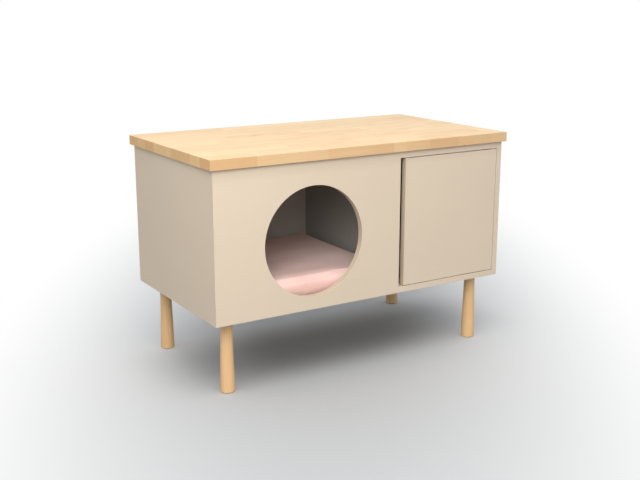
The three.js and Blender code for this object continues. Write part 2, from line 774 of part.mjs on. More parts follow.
// A crowned pad, softer along its front edge. Its sides pull in between the corners, and its top and
// its base meet in an edge seam.
function cushionGeometry() {
  const width = DIVIDER_LEFT - INSIDE_LEFT - 2 * CUSHION_GAP;
  const depth = INSIDE_BACK - INSIDE_FRONT - 2 * CUSHION_GAP;
  const sideEdge = [CUSHION_ROUND, CUSHION_ROUND_STEPS];
  const across = spread(width, sideEdge, sideEdge);
  const along = spread(depth, [CUSHION_NOSE, CUSHION_NOSE_STEPS], sideEdge);
  const columns = across.length;
  const rows = along.length;
  const positions = [];

  function addSheet(heightAt) {
    for (const y of along) {
      for (const x of across) {
        const u = 2 * x / width - 1;
        const v = 2 * y / depth - 1;
        positions.push(
          x - width / 2 - u * CUSHION_DRAW_IN * (1 - v * v),
          y - depth / 2 - v * CUSHION_DRAW_IN * (1 - u * u),
          heightAt(x, y, u, v),
        );
      }
    }
  }

  addSheet((x, y, u, v) => {
    const edges = rise(x, CUSHION_ROUND) * rise(width - x, CUSHION_ROUND)
      * rise(y, CUSHION_NOSE) * rise(depth - y, CUSHION_ROUND);
    const level = CUSHION_THICKNESS - CUSHION_SEAM_HEIGHT;
    const crown = CUSHION_CROWN * (1 - u * u) * (1 - v * v);
    return CUSHION_SEAM_HEIGHT + (level + crown) * edges;
  });
  addSheet((x, y) => {
    const edges = rise(x, CUSHION_BASE_ROUND) * rise(width - x, CUSHION_BASE_ROUND)
      * rise(y, CUSHION_BASE_ROUND) * rise(depth - y, CUSHION_BASE_ROUND);
    return CUSHION_SEAM_HEIGHT * (1 - edges);
  });

  const indices = [];
  const sheet = columns * rows;
  for (let row = 0; row < rows - 1; row += 1) {
    for (let column = 0; column < columns - 1; column += 1) {
      const a = row * columns + column;
      const b = a + 1;
      const c = b + columns;
      const d = a + columns;
      // The fold in each cell runs towards the nearest corner of the pad.
      const rising = (column < columns / 2 - 1) === (row < rows / 2 - 1);
      const cell = rising ? [a, b, c, a, c, d] : [a, b, d, b, c, d];
      indices.push(...cell);
      indices.push(...cell.map((index) => index + sheet).reverse());
    }
  }

  const geometry = new THREE.BufferGeometry();
  geometry.setAttribute('position', new THREE.Float32BufferAttribute(positions, 3));
  geometry.setIndex(indices);
  return toGeometry(toSolid(geometry));
}

// ---- Assembly -----------------------------------------------------------------------------------

const cabinet = new THREE.Group();

const body = new THREE.Group();
body.position.set(-BODY_WIDTH / 2, -BODY_DEPTH / 2, LEG_HEIGHT);
cabinet.add(body);

addMesh(body, 'top_board', topBoard(), topWood);
addMesh(body, 'left_side_panel', sidePanel(0), paint);
addMesh(body, 'right_side_panel', sidePanel(INSIDE_RIGHT), paint);
addMesh(body, 'bottom_panel', bottomPanel(), paint);
addMesh(body, 'back_panel', backPanel(), paint);
addMesh(body, 'front_panel', frontPanel(), paint);
addMesh(body, 'divider_panel', dividerPanel(), paint);
addMesh(body, 'front_top_rail', frontRail(), paint);
addMesh(body, 'rear_top_rail', rearRail(), paint);

for (const screw of topScrews) {
  addScrew(body, screw, TOP_SCREW);
}
for (const screw of backScrews) {
  addScrew(body, screw, BACK_SCREW);
}
for (const leg of legPlaces) {
  addLeg(body, leg);
}

// The door's parts hang from a group on the hinge axis: turning it about z opens the door.
const doorPivot = new THREE.Group();
doorPivot.position.set(PIVOT_X, PIVOT_Y, 0);
body.add(doorPivot);
const door = new THREE.Group();
door.position.set(-PIVOT_X, -PIVOT_Y, 0);
doorPivot.add(door);

addMesh(door, 'door_panel', doorPanel(), paint);
for (const hinge of hinges) {
  addHinge(body, door, hinge);
}

addMesh(body, 'catch_housing', catchHousing(), catchPlastic);
addMesh(body, 'catch_magnet', magnetBox(0), darkMagnet);
for (const screw of catchScrews) {
  addScrew(body, screw, CATCH_SCREW);
}
addMesh(door, 'strike_plate', strikePlate(), plainSteel);
addScrew(door, strikeScrew, STRIKE_SCREW);

addMesh(body, 'litter_tray', litterTray(), trayPlastic, [
  DIVIDER_RIGHT + BAY_WIDTH / 2,
  (INSIDE_FRONT + INSIDE_BACK) / 2,
  INSIDE_FLOOR,
]);
addMesh(body, 'cushion', cushionGeometry(), cushionCloth, [
  (INSIDE_LEFT + DIVIDER_LEFT) / 2,
  (INSIDE_FRONT + INSIDE_BACK) / 2,
  INSIDE_FLOOR + CLEARANCE,
]);

export default cabinet;
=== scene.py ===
"""Looks of the cat litter box cabinet: finishes, cushion, floor, light and camera.

Lengths are in metres in the part's frame: the origin is on the floor under the middle of the
top board, +X runs to the right along the front, +Y to the back and +Z up.
"""

import math

import bmesh
import bpy
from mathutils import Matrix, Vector
from mathutils.bvhtree import BVHTree


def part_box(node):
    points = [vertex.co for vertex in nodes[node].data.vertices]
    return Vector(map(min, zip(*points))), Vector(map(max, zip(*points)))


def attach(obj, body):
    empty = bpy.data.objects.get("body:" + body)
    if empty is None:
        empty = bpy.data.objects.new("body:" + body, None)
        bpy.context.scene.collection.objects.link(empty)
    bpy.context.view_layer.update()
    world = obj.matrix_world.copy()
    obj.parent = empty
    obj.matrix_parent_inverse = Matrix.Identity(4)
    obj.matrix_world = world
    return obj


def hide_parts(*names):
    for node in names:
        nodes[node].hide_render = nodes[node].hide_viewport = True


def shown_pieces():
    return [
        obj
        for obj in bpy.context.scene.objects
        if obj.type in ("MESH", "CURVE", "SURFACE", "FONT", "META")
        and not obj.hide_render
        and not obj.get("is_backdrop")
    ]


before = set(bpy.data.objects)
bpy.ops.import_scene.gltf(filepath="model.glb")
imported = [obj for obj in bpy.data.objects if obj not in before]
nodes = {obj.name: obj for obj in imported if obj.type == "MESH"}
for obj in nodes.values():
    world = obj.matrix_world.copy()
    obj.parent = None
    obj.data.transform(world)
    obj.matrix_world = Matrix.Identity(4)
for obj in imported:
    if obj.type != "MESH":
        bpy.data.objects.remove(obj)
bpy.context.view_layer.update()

# Camera, as the photograph was taken. Angles are in degrees, and left of the front is negative.
VIEW_AZIMUTH = -32.02
VIEW_ELEVATION = 14.05
VIEW_DISTANCE = 2.9
VIEW_AIM = Vector((-0.0687, -0.1097, 0.3639))
LENS = 55.04  # mm
SENSOR_WIDTH = 36  # mm

# Light. The lamps stand at angles like the camera's, and their power is in watts.
SKY_LEVEL = 0.56
SKY_FRONT_GAIN = 0.35  # how much brighter the sky is in front than at the sides
SKY_TINT = (0.94, 1.0, 1.06, 1.0)
WHITE = (1.0, 1.0, 1.0, 1.0)
LAMP_AIM = Vector((0, 0, 0.4))
LAMP_TINT = (1.06, 1.0, 0.94)
FILL = {"azimuth": -38, "elevation": 34, "distance": 3.0, "size": 2.0, "power": 59}
CUSHION_FILL = {"azimuth": -34, "elevation": 32, "distance": 3.0, "size": 1.6, "power": 64}
CUSHION_FILL_TINT = (0.84, 1.02, 1.04)
FLOOR_LAMP = {"azimuth": -35, "elevation": 67, "distance": 4.0, "size": 3.2, "power": 42}
OVERHEAD = {"azimuth": -10, "elevation": 70, "distance": 4.0, "size": 0.5, "power": 38}

# Floor.
FLOOR_SIZE = 40
FLOOR_SHOWN = 0.76  # what the camera sees of it
FLOOR_BOUNCE = 0.5  # what it throws back onto the object
SHOWN_MIDDLE = (0.225, 0.33, 0)  # middle of the patch of floor that isn't white
SHOWN_STRETCH = 2.74  # the patch's length along the view, against its width
FADE_FROM = 0.2  # half width at which the floor starts to turn white
FADE_TO = 1.15  # half width at which it is white
CONTACT_SHADE = 0.43  # share of the floor's tone taken away under the object: a painted shadow
CONTACT_MIDDLE_X = 0.05
CONTACT_REACH = ((0.4, 0.7), (0.03, 0.25))  # where the painted shadow starts and stops fading, in x and y

# Rounding of the edges: by how much, for each node.
BOARDS = ("front_panel", "left_side_panel", "right_side_panel", "bottom_panel", "back_panel",
          "divider_panel", "front_top_rail", "rear_top_rail", "door_panel")
BOARD_EDGE = 0.0008
EDGE_WIDTHS = {"top_board": 0.0016, "litter_tray": 0.0006, "catch_housing": 0.0004,
               **{name: BOARD_EDGE for name in BOARDS}}
SMALL_EDGE = 0.0002  # of all other nodes
EDGE_SEGMENTS = 2
SHARP_ANGLE = math.radians(30)  # edges sharper than this are rounded
FLAT_ANGLE = math.radians(0.5)  # faces that meet at less than this are joined
SAME_POINT = 1e-6  # distance under which two points are one

# The thickness of the front panel: its outer face and the seam behind it, which is filled and
# painted over. The boards' edges that show between the two are darker, a painted shade.
FRONT_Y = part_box("front_panel")[0].y
SEAM_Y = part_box("front_panel")[1].y
SEAM_TOLERANCE = 0.0002
CUTS_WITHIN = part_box("right_side_panel")[1].x - BOARD_EDGE * 2  # the outer ends are left without the painted shade
CUT_FADE = 0.0012  # depth behind the outer face at which the painted shade is full

# The space of the left compartment, whose walls are painted darker and greyer than the rest: a
# painted shade.
LEFT_COMPARTMENT = (
    Vector((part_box("left_side_panel")[1].x, SEAM_Y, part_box("bottom_panel")[1].z)),
    Vector((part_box("divider_panel")[0].x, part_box("back_panel")[0].y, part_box("top_board")[0].z)),
)

# Figure of the wood.
RING_PITCH = 0.0042
RING_WANDER = 0.045  # by how much the growth rings stray from circles
RING_SHARPNESS = 2.5
HEART_SPREAD = (0.10, 0.12)  # range of places of the tree's middle, across the grain
TOOL_PITCH = 0.0016  # of the rings that the lathe's tool leaves on the legs

# Laminated wood of the top.
STAVES = 9
STAVE_WIDTH = 0.0611
STAVE_SHIFT = 5.0  # most by which a stave's blocks are moved along
BLOCK_LENGTH = 0.26  # middle value; each stave's is up to a quarter shorter or longer
STAVE_DRAW, BLOCK_DRAW = 3.1, 7.7  # tell the random numbers of staves and of blocks apart
STAVE_JOINT = (0.4955, 0.4995)  # where the glue line starts and is full, in widths from the middle
BLOCK_JOINT = (0.4992, 0.4998)  # the same, in lengths
# Blocks of the front stave, which shows in the board's front edge: where each ends on the right,
# and how deep its tone is.
FRONT_BLOCKS = ((-0.365, 1.0), (-0.145, 0.35), (0.075, 0.7), (0.12, 0.05), (0.205, 0.4),
                (0.31, 1.1), (0.44, 0.6), (1.0, 0.3))
# Swirls of darker figure round the roots of branches: middle, half length along x and y, strength.
KNOTS = (((-0.19, 0.062, 0.0), (0.048, 0.020), 0.8), ((-0.115, 0.045, 0.0), (0.055, 0.012), 0.45),
         ((0.283, -0.045, 0.0), (0.060, 0.016), 0.55), ((0.05, 0.165, 0.0), (0.030, 0.012), 0.7),
         ((0.27, 0.13, 0.0), (0.050, 0.020), 0.5), ((-0.33, -0.12, 0.0), (0.060, 0.012), 0.35))
KNOT_TURN = 0.12  # radians, from the x axis
KNOT_RAGGEDNESS = 1.1
KNOT_FADE = (0.35, 1.45)  # half lengths from the middle at which it starts to fade and is gone
KNOT_SWIRL = 0.012  # by how much a knot pushes the grain aside

# Cushion cover.
THREAD_PITCH = 0.0011
CUSHION_VOXEL = 0.006  # size of the faces of its mesh
CUSHION_SEAM_HEIGHT = 0.026
CUSHION_SKIN = 0.0002  # gap to the surface of the CAD solid
SEAM_GROOVE = 0.0015  # depth and half width
ON_SEAM = 1e-5  # how near to the seam's height a point of the seam lies
SIDEWAYS = 0.1  # least level part of the normal of a point that the groove takes in
SWELL_ROOM = (0.003, 0.003, 0.0012)  # by which the starting shape is smaller on each side
HELD_WITHIN = 0.012  # of the left, right and back walls, where the cover keeps its place
SWELL_PRESSURE = 4
SWELL_FRAMES = 20
SWELL_CAP = 0.008  # most by which the simulation moves a point
NOSE_START = 0.02  # from here back the cover is let out against the walls
NOSE_LENGTH = 0.08  # over which that grows to its full amount
FILLING_OUT = 0.006  # the full amount


def srgb(red, green, blue):
    """A colour given in 0 to 255 as linear red, green, blue and alpha."""
    def linear(value):
        share = value / 255
        return share / 12.92 if share <= 0.04045 else ((share + 0.055) / 1.055) ** 2.4
    return (linear(red), linear(green), linear(blue), 1.0)


# Colours.
PAINT = srgb(221, 204, 182)
PAINT_SHADE = srgb(218, 201, 179)
PAINT_WARM = srgb(224, 206, 181)
# Painted shade for the cut edges round the hole and the door opening.
CUT_EDGE_PAINTED_SHADE = srgb(206, 190, 167)
# Painted shade: the walls of the left compartment and the divider's face there are darker and greyer.
INNER_WALL_PAINTED_SHADE = srgb(202, 197, 187)
INNER_WALL_PAINTED_SHADE_DEEP = srgb(194, 189, 180)
PARTITION_PAINTED_SHADE = srgb(162, 165, 161)
PARTITION_PAINTED_SHADE_DEEP = srgb(155, 158, 155)
TOP_LIGHT = srgb(247, 219, 173)
TOP_DEEP = srgb(229, 191, 142)
TOP_PINK = srgb(230, 190, 150)
TOP_KNOT = srgb(214, 163, 122)
TOP_RING = srgb(214, 170, 120)
TOP_PORE = srgb(176, 130, 84)
LEG_LIGHT = srgb(238, 199, 147)
LEG_DEEP = srgb(233, 191, 139)
LEG_RING = srgb(214, 168, 116)
CLOTH = srgb(238, 193, 182)
CLOTH_DEEP = srgb(230, 182, 171)
CLOTH_PALE = srgb(245, 208, 198)
# Painted shade for the cover's upright faces.
CLOTH_PAINTED_SHADE = srgb(220, 168, 156)
END_GRAIN_TINT = (0.88, 0.80, 0.64, 1.0)


# Node trees

class Graph:
    """A node tree under construction. Its methods add nodes and give their output."""

    def __init__(self, tree):
        self.tree = tree

    def node(self, kind, inputs, output=0, **settings):
        made = self.tree.nodes.new(kind)
        for name, value in settings.items():
            setattr(made, name, value)
        for key, value in inputs.items():
            self.put(made.inputs[key], value)
        return made.outputs[output]

    def put(self, socket, value):
        if isinstance(value, bpy.types.NodeSocket):
            self.tree.links.new(value, socket)
        else:
            socket.default_value = value

    def split(self, vector):
        made = self.tree.nodes.new("ShaderNodeSeparateXYZ")
        self.put(made.inputs[0], vector)
        return made.outputs[0], made.outputs[1], made.outputs[2]

    def vector(self, x, y, z):
        return self.node("ShaderNodeCombineXYZ", {0: x, 1: y, 2: z})

    def scaled(self, vector, scale):
        return self.node("ShaderNodeVectorMath", {0: vector, 1: scale}, operation="MULTIPLY")

    def moved(self, vector, offset):
        return self.node("ShaderNodeVectorMath", {0: vector, 1: offset}, operation="ADD")

    def mapped(self, vector, middle, turn, size):
        """vector in a frame that lies at middle, is turned about z and has size as its unit."""
        inputs = {"Vector": vector, "Location": middle, "Rotation": (0, 0, turn), "Scale": size}
        return self.node("ShaderNodeMapping", inputs, vector_type="TEXTURE")

    def length(self, vector):
        return self.node("ShaderNodeVectorMath", {0: vector}, "Value", operation="LENGTH")

    def math(self, operation, first, second=0.0, third=0.0):
        return self.node("ShaderNodeMath", {0: first, 1: second, 2: third}, operation=operation)

    def wave(self, value, pitch):
        """A sine wave of value, which repeats after each pitch."""
        return self.math("SINE", self.math("MULTIPLY", value, 2 * math.pi / pitch))

    def from_middle(self, value):
        """How far value is from the middle between the whole numbers on both sides of it."""
        return self.math("ABSOLUTE", self.math("SUBTRACT", self.math("FRACT", value), 0.5))

    def noise(self, vector, scale, detail, roughness=0.5):
        inputs = {"Vector": vector, "Scale": scale, "Detail": detail, "Roughness": roughness}
        return self.node("ShaderNodeTexNoise", inputs, "Fac")

    def random(self, vector):
        return self.node("ShaderNodeTexWhiteNoise", {"Vector": vector}, "Color")

    def between(self, value, low, high, to_low=0.0, to_high=1.0, smooth=True):
        """value, mapped from the range low to high onto the range to_low to to_high."""
        kind = "SMOOTHSTEP" if smooth else "LINEAR"
        inputs = {"Value": value, "From Min": low, "From Max": high,
                  "To Min": to_low, "To Max": to_high}
        return self.node("ShaderNodeMapRange", inputs, interpolation_type=kind)

    def mix(self, share, first, second, blend="MIX"):
        inputs = {0: share, 6: first, 7: second}
        return self.node("ShaderNodeMix", inputs, 2, data_type="RGBA", blend_type=blend)

    def tinted(self, tone, colour, share, most):
        """tone with colour mixed in, by most where share is 1."""
        return self.mix(self.math("MULTIPLY", share, most), tone, colour)

    def bump(self, height, distance, strength, under=None):
        inputs = {"Height": height, "Distance": distance, "Strength": strength}
        if under is not None:
            inputs["Normal"] = under
        return self.node("ShaderNodeBump", inputs)


class Surface(Graph):
    """A material under construction."""

    def __init__(self, name):
        self.material = bpy.data.materials.new(name)
        self.material.use_nodes = True
        super().__init__(self.material.node_tree)
        self.tree.nodes.clear()
        self.output = self.tree.nodes.new("ShaderNodeOutputMaterial")
        self.shader = self.tree.nodes.new("ShaderNodeBsdfPrincipled")
        self.put(self.output.inputs["Surface"], self.shader.outputs["BSDF"])

    def finished(self, **values):
        """The material, with values put into the shader's inputs, such as base_color."""
        names = {socket.name.lower().replace(" ", "_"): socket for socket in self.shader.inputs}
        for name, value in values.items():
            self.put(names[name], value)
        return self.material

    def place(self):
        return self.node("ShaderNodeTexCoord", {}, "Object")

    def facing(self):
        """The direction that the surface faces, in the part's frame at rest."""
        return self.node("ShaderNodeTexCoord", {}, "Normal")


# Materials

def inside_share(s, place):
    """1 on the faces that look into the left compartment, which take a painted shade, and 0
    elsewhere.
    """
    low, high = LEFT_COMPARTMENT
    share = 1.0
    for value, least, most in zip(s.split(place), low, high):
        above = s.math("GREATER_THAN", value, least - SEAM_TOLERANCE)
        below = s.math("LESS_THAN", value, most + SEAM_TOLERANCE)
        share = s.math("MULTIPLY", s.math("MULTIPLY", above, below), share)
    return share


def painted_board(name, painted_shade_tones):
    """Warm beige matt paint, rolled on: a faint mottle, a fine pimpled skin and soft scuffs.

    The walls of the left compartment take painted_shade_tones, a painted shade, and the boards'
    edges that show in the thickness of the front panel are darker, also a painted shade.
    """
    s = Surface(name)
    place = s.place()
    mottle = s.noise(place, 2.3, 3)
    stipple = s.noise(place, 900, 2)
    streak = s.noise(s.scaled(place, (14, 14, 90)), 1, 3)
    tone = s.mix(s.between(mottle, 0.3, 0.7), PAINT_SHADE, PAINT)
    tone = s.mix(s.between(streak, 0.35, 0.75, 0, 0.10), tone, PAINT_WARM)
    shaded_inner = s.mix(s.between(mottle, 0.3, 0.7), *painted_shade_tones)
    # Painted shade on the walls of the left compartment.
    tone = s.mix(inside_share(s, place), tone, shaded_inner)
    x, y, _ = s.split(place)
    cut_shade = s.math("MULTIPLY", s.between(y, FRONT_Y + SEAM_TOLERANCE, FRONT_Y + CUT_FADE),
                 s.math("LESS_THAN", y, SEAM_Y - SEAM_TOLERANCE))
    cut_shade = s.math("MULTIPLY", cut_shade, s.math("LESS_THAN", s.math("ABSOLUTE", x), CUTS_WITHIN))
    # Painted shade on the cut edges round the hole and the door opening.
    tone = s.mix(cut_shade, tone, CUT_EDGE_PAINTED_SHADE)
    tone = s.mix(s.between(stipple, 0.4, 0.8, 0, 0.06), tone, PAINT_SHADE)
    gloss = s.between(s.noise(place, 9, 4), 0.3, 0.7, 0.50, 0.60)
    skin = s.bump(s.noise(place, 420, 2), 0.00006, 0.5)
    skin = s.bump(stipple, 0.00003, 0.4, skin)
    return s.finished(base_color=tone, roughness=gloss, normal=skin, specular_ior_level=0.2)


def wood_figure(s, place, along, seed):
    """Growth rings, fibres and pores of pale hardwood whose fibres run along x or z.

    Gives the share of darker late wood, the fibre pattern and the pore pattern.
    """
    x, y, z = s.split(place)
    run, first, second = {"x": (x, y, z), "z": (z, x, y)}[along]

    def stretched(lengthways, sideways):
        return s.vector(s.math("MULTIPLY", run, lengthways), s.math("MULTIPLY", first, sideways),
                        s.math("MULTIPLY", second, sideways))

    heart = s.split(s.moved(seed, (-0.5, -0.5, -0.5)))
    across = s.math("ADD", first, s.math("MULTIPLY", heart[0], HEART_SPREAD[0]))
    deep = s.math("ADD", second, s.math("MULTIPLY", heart[1], HEART_SPREAD[1]))
    wander = s.math("MULTIPLY", s.noise(stretched(1.6, 9), 1, 3), RING_WANDER)
    radius = s.math("ADD", s.length(s.vector(across, deep, 0.0)), wander)
    bands = s.math("MULTIPLY_ADD", s.wave(radius, RING_PITCH), 0.5, 0.5)
    rings = s.math("POWER", bands, RING_SHARPNESS)
    fibres = s.noise(stretched(9, 520), 1, 3, 0.6)
    pores = s.between(s.noise(stretched(95, 1900), 1, 1), 0.68, 0.76)
    return rings, fibres, pores


def front_stave_depth(s, x):
    """How deep the tone of the front stave's block at x is."""
    depth = FRONT_BLOCKS[0][1]
    for (block_end, this_depth), (_, next_depth) in zip(FRONT_BLOCKS, FRONT_BLOCKS[1:]):
        beyond = s.math("GREATER_THAN", x, block_end)
        depth = s.math("MULTIPLY_ADD", beyond, next_depth - this_depth, depth)
    return depth


def knot_share(s, place):
    """How much of the knots' figure there is, up to the strength of each knot."""
    x, y, _ = s.split(place)
    roughness = s.noise(s.scaled(place, (30, 90, 90)), 1, 3)
    share = 0.0
    for middle, reach, strength in KNOTS:
        away = s.length(s.mapped(s.vector(x, y, 0.0), middle, KNOT_TURN, (*reach, 1.0)))
        ragged = s.math("MULTIPLY_ADD", roughness, KNOT_RAGGEDNESS, away)
        share = s.math("MAXIMUM", share, s.between(ragged, *KNOT_FADE, strength, 0))
    return share


def laminated_wood():
    """Pale staves glued edge to edge, each made of finger-jointed blocks, lacquered matt."""
    s = Surface("top_wood")
    place = s.place()
    x, y, _ = s.split(place)
    stave_place = s.math("DIVIDE", s.math("ADD", y, STAVES / 2 * STAVE_WIDTH), STAVE_WIDTH)
    stave = s.math("FLOOR", stave_place)
    in_front = s.math("LESS_THAN", stave, 0.5)
    shift, stretch, _ = s.split(s.random(s.vector(stave, STAVE_DRAW, 0.0)))
    length = s.math("MULTIPLY_ADD", stretch, 0.5 * BLOCK_LENGTH, 0.75 * BLOCK_LENGTH)
    start = s.math("MULTIPLY", shift, STAVE_SHIFT)
    block_place = s.math("DIVIDE", s.math("ADD", x, start), length)
    block = s.math("FLOOR", block_place)
    seed = s.random(s.vector(stave, block, BLOCK_DRAW))
    offset = s.scaled(seed, (3.0, 0.0, 0.0))
    knot = knot_share(s, place)
    swirl = s.vector(0.0, s.math("MULTIPLY", knot, KNOT_SWIRL), 0.0)
    rings, fibres, pores = wood_figure(s, s.moved(s.moved(place, offset), swirl), "x", seed)

    own_depth, pinkness, _ = s.split(seed)
    depth_change = s.math("SUBTRACT", front_stave_depth(s, x), own_depth)
    depth = s.math("MULTIPLY_ADD", depth_change, in_front, own_depth)
    # Painted light: the top face is lighter and evener in tone than the edges.
    painted_light_on_top = s.between(s.split(s.facing())[2], 0.5, 0.8)
    depth = s.math("MULTIPLY", depth, s.between(painted_light_on_top, 0, 1, 1, 0.55, smooth=False))
    tone = s.mix(depth, TOP_LIGHT, TOP_DEEP)
    tone = s.tinted(tone, TOP_PINK, pinkness, 0.2)
    cloud = s.noise(s.moved(s.scaled(place, (5, 9, 9)), offset), 1, 3)
    tone = s.mix(s.between(cloud, 0.42, 0.72, 0, 0.3), tone, TOP_PINK)
    streak = s.noise(s.moved(s.scaled(place, (2.4, 46, 46)), offset), 1, 4, 0.6)
    tone = s.mix(s.between(streak, 0.45, 0.72, 0, 0.40), tone, TOP_DEEP)
    tone = s.mix(s.between(streak, 0.48, 0.25, 0, 0.35), tone, TOP_LIGHT)
    tone = s.tinted(tone, TOP_KNOT, knot, 0.9)
    tone = s.tinted(tone, TOP_RING, rings, 0.22)
    tone = s.mix(s.between(fibres, 0.35, 0.75, 0, 0.18), tone, TOP_RING)
    tone = s.tinted(tone, TOP_PORE, pores, 0.25)
    block_line = s.math("MULTIPLY", s.from_middle(block_place), s.math("SUBTRACT", 1.0, in_front))
    joint = s.math("MAXIMUM", s.between(s.from_middle(stave_place), *STAVE_JOINT),
                   s.between(block_line, *BLOCK_JOINT))
    tone = s.tinted(tone, TOP_PORE, joint, 0.30)
    end_share = s.between(s.math("ABSOLUTE", s.split(s.facing())[0]), 0.5, 0.8)
    tone = s.mix(end_share, tone, END_GRAIN_TINT, "MULTIPLY")
    gloss = s.between(fibres, 0.3, 0.7, 0.40, 0.50)
    grain = s.bump(fibres, 0.00008, 0.35)
    grain = s.bump(s.math("SUBTRACT", 1.0, pores), 0.00006, 0.3, grain)
    return s.finished(base_color=tone, roughness=gloss, normal=grain, specular_ior_level=0.3)


def turned_wood():
    """Pale hardwood turned on a lathe: fibres run up the leg, with faint rings left by the tool."""
    s = Surface("leg_wood")
    place = s.place()
    leg_draw = s.node("ShaderNodeObjectInfo", {}, "Random")
    seed = s.random(s.vector(leg_draw, 1.7, 4.2))
    own_place = s.moved(place, s.scaled(seed, (0.3, 0.3, 3.0)))
    rings, fibres, pores = wood_figure(s, own_place, "z", seed)
    tone = s.mix(s.noise(s.scaled(place, (18, 18, 3)), 1, 2), LEG_LIGHT, LEG_DEEP)
    tone = s.tinted(tone, LEG_RING, rings, 0.30)
    tone = s.mix(s.between(fibres, 0.35, 0.75, 0, 0.22), tone, LEG_RING)
    tone = s.tinted(tone, TOP_PORE, pores, 0.25)
    gloss = s.between(fibres, 0.3, 0.7, 0.42, 0.52)
    grain = s.bump(fibres, 0.00008, 0.35)
    grain = s.bump(s.wave(s.split(place)[2], TOOL_PITCH), 0.00001, 0.4, grain)
    return s.finished(base_color=tone, roughness=gloss, normal=grain)


def brushed_metal(name, light, dark, along, roughness):
    """Metal with fine lines along x or z and faint blotches."""
    s = Surface(name)
    place = s.place()
    stretch = {"x": (20, 2600, 2600), "z": (2600, 2600, 20)}[along]
    lines = s.noise(s.scaled(place, stretch), 1, 2)
    blotch = s.noise(place, 60, 3)
    tone = s.mix(s.between(blotch, 0.35, 0.7), light, dark)
    tone = s.mix(s.between(lines, 0.3, 0.7, 0, 0.25), tone, dark)
    gloss = s.between(lines, 0.3, 0.7, roughness - 0.06, roughness + 0.06)
    grain = s.bump(lines, 0.00002, 0.5)
    return s.finished(base_color=tone, metallic=1.0, roughness=gloss, normal=grain)


def moulded_plastic(name, light, dark, roughness):
    """Moulded plastic with a fine spark-eroded texture and a faint flow mottle."""
    s = Surface(name)
    place = s.place()
    flow = s.noise(s.scaled(place, (6, 6, 16)), 1, 3)
    texture = s.noise(place, 1400, 2)
    tone = s.mix(s.between(flow, 0.35, 0.7), light, dark)
    tone = s.mix(s.between(texture, 0.45, 0.8, 0, 0.15), tone, dark)
    gloss = s.between(texture, 0.3, 0.7, roughness - 0.05, roughness + 0.05)
    return s.finished(base_color=tone, roughness=gloss, normal=s.bump(texture, 0.00004, 0.5))


def dull_magnet():
    """Sintered magnet: grainy and dark, with brighter specks."""
    s = Surface("magnet")
    place = s.place()
    grain = s.noise(place, 1500, 3, 0.7)
    tone = s.mix(s.between(grain, 0.35, 0.7), srgb(70, 70, 74), srgb(104, 104, 108))
    gloss = s.between(grain, 0.3, 0.7, 0.45, 0.6)
    relief = s.bump(grain, 0.00003, 0.5)
    return s.finished(base_color=tone, metallic=0.8, roughness=gloss, normal=relief)


def pressed_felt():
    """Grey-brown wool felt: short fibres lying all ways."""
    s = Surface("felt")
    place = s.place()
    clumps = s.noise(place, 260, 4, 0.6)
    fibres = s.noise(place, 2400, 3, 0.7)
    tone = s.mix(s.between(clumps, 0.3, 0.7), srgb(124, 114, 103), srgb(92, 84, 76))
    tone = s.mix(s.between(fibres, 0.4, 0.7, 0, 0.5), tone, srgb(150, 140, 128))
    nap = s.bump(fibres, 0.0003, 0.7)
    return s.finished(base_color=tone, roughness=0.95, normal=nap, sheen_weight=0.2)


def soft_cloth():
    """Dusty pink brushed cloth: a fine plain weave under a short nap that lies in soft patches.

    Where it hangs upright it is painted deeper: a painted shade.
    """
    s = Surface("cushion_fabric")
    place = s.place()
    x, y, z = s.split(place)
    warp = s.wave(x, THREAD_PITCH)
    weft = s.wave(s.math("ADD", y, z), THREAD_PITCH)
    weave = s.math("MULTIPLY_ADD", s.math("MULTIPLY", warp, weft), 0.5, 0.5)
    nap = s.noise(place, 1300, 3, 0.65)
    lie = s.noise(s.scaled(place, (7, 11, 9)), 1, 3)
    tone = s.mix(s.between(lie, 0.35, 0.68), CLOTH, CLOTH_DEEP)
    tone = s.tinted(tone, CLOTH_DEEP, weave, 0.10)
    tone = s.mix(s.between(nap, 0.45, 0.8, 0, 0.22), tone, CLOTH_PALE)
    # Painted shade on the upright faces.
    level = s.math("ABSOLUTE", s.split(s.facing())[2])
    tone = s.mix(s.between(level, 0.25, 0.75, 0.75, 0), tone, CLOTH_PAINTED_SHADE)
    threads = s.bump(weave, 0.00025, 0.35)
    return s.finished(base_color=tone, roughness=0.92, normal=s.bump(nap, 0.0003, 0.4, threads),
                      sheen_weight=0.25, sheen_roughness=0.4, sheen_tint=srgb(255, 226, 218))


# Rounded edges on the carried-over CAD nodes

